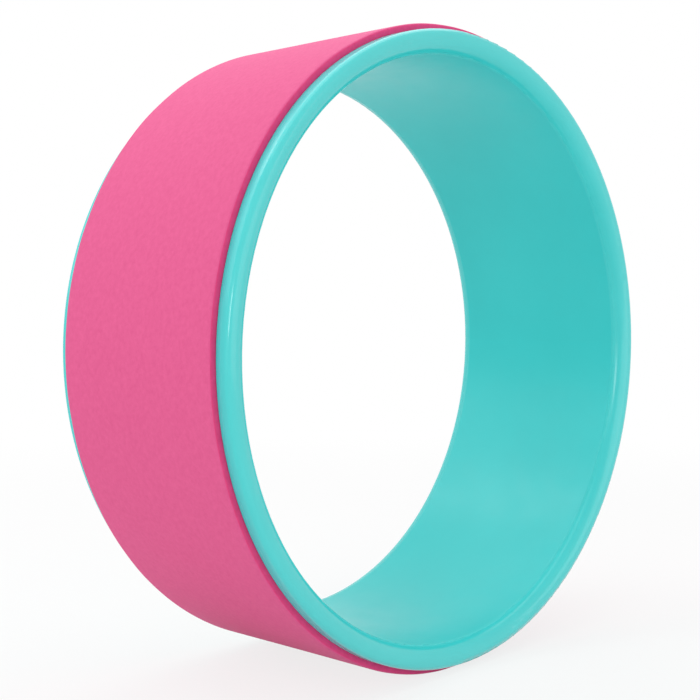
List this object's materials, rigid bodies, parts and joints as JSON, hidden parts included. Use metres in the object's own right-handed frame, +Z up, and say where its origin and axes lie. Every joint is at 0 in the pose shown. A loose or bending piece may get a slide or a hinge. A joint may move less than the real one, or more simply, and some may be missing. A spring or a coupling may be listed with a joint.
{
  "type": "yoga wheel",
  "caption": "Wide hollow wheel for back bends and balance: a seamless plastic hoop with rounded rims and a soft foam tread bonded round its outside.",
  "frame": {"origin": "centre of the wheel, on the axis of the bore and midway between the two rims", "axes": "+Y along the wheel's axis, +Z up with the wheel standing on its tread"},
  "size_m": [0.33, 0.123, 0.3295],
  "materials": {
    "hoop_plastic": "smooth glossy moulded plastic, turquoise",
    "pad_foam": "matt fine-grained closed-cell foam, pink",
    "adhesive": "thin clear amber contact adhesive"
  },
  "bodies": {
    "root": {"hoop": "hoop_plastic", "tread_pad": "pad_foam", "pad_adhesive": "adhesive", "seam_adhesive": "adhesive"}
  },
  "joints": []
}
